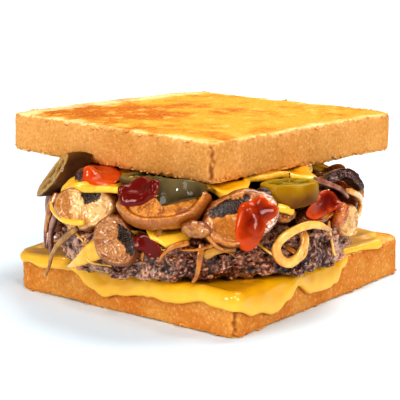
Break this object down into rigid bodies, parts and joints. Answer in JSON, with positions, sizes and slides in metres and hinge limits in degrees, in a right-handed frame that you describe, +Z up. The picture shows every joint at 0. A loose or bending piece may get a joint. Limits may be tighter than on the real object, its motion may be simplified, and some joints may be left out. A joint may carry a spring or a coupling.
{
  "type": "patty melt",
  "caption": "Toasted sandwich of a beef patty and melted cheese between thick bread slices, heaped with fried mushrooms, onion, jalapeno and ketchup.",
  "frame": {"origin": "middle of the lower bread slice's underside, where the sandwich rests", "axes": "+Z up from the resting face; X and Y run along the lower slice's sides, with the near corner of the picture at +X -Y"},
  "size_m": [0.1445, 0.1486, 0.067],
  "materials": {
    "bread": "toasted pan bread, matt and slightly porous",
    "patty": "browned ground beef, craggy with greasy highlights",
    "cheese": "melted processed cheese, smooth and oily",
    "filling": "heap of chopped fried mushrooms and onions, oily",
    "mushroom": "fried mushroom slices, golden and oily with browned rims",
    "onion": "fried onion strips, golden and translucent",
    "jalapeno": "pickled jalapeno rings, olive skin and pale flesh",
    "ketchup": "ketchup, wet and glossy"
  },
  "bodies": {
    "root": {"bread_bottom": "bread", "bread_top": "bread", "cheese_bottom": "cheese", "cheese_middle": "cheese", "cheese_top": "cheese", "filling_heap": "filling", "jalapeno_ring_01": "jalapeno", "jalapeno_ring_02": "jalapeno", "jalapeno_ring_03": "jalapeno", "jalapeno_ring_04": "jalapeno", "jalapeno_ring_05": "jalapeno", "jalapeno_ring_06": "jalapeno", "ketchup_01": "ketchup", "ketchup_02": "ketchup", "ketchup_03": "ketchup", "ketchup_04": "ketchup", "ketchup_05": "ketchup", "ketchup_06": "ketchup", "mushroom_bit_01": "mushroom", "mushroom_bit_02": "mushroom", "mushroom_bit_03": "mushroom", "mushroom_slice_01": "mushroom", "mushroom_slice_02": "mushroom", "mushroom_slice_03": "mushroom", "mushroom_slice_04": "mushroom", "mushroom_slice_05": "mushroom", "mushroom_slice_06": "mushroom", "mushroom_slice_07": "mushroom", "mushroom_slice_08": "mushroom", "mushroom_slice_09": "mushroom", "mushroom_slice_10": "mushroom", "mushroom_slice_11": "mushroom", "mushroom_slice_12": "mushroom", "mushroom_slice_13": "mushroom", "mushroom_slice_14": "mushroom", "mushroom_stem_01": "mushroom", "onion_loop_01": "onion", "onion_strip_01": "onion", "onion_strip_02": "onion", "onion_strip_03": "onion", "onion_strip_04": "onion", "onion_strip_05": "onion", "onion_strip_06": "onion", "onion_strip_07": "onion", "onion_strip_08": "onion", "onion_strip_09": "onion", "onion_strip_10": "onion", "onion_strip_11": "onion", "onion_strip_12": "onion", "onion_strip_13": "onion", "patty": "patty"}
  },
  "joints": []
}
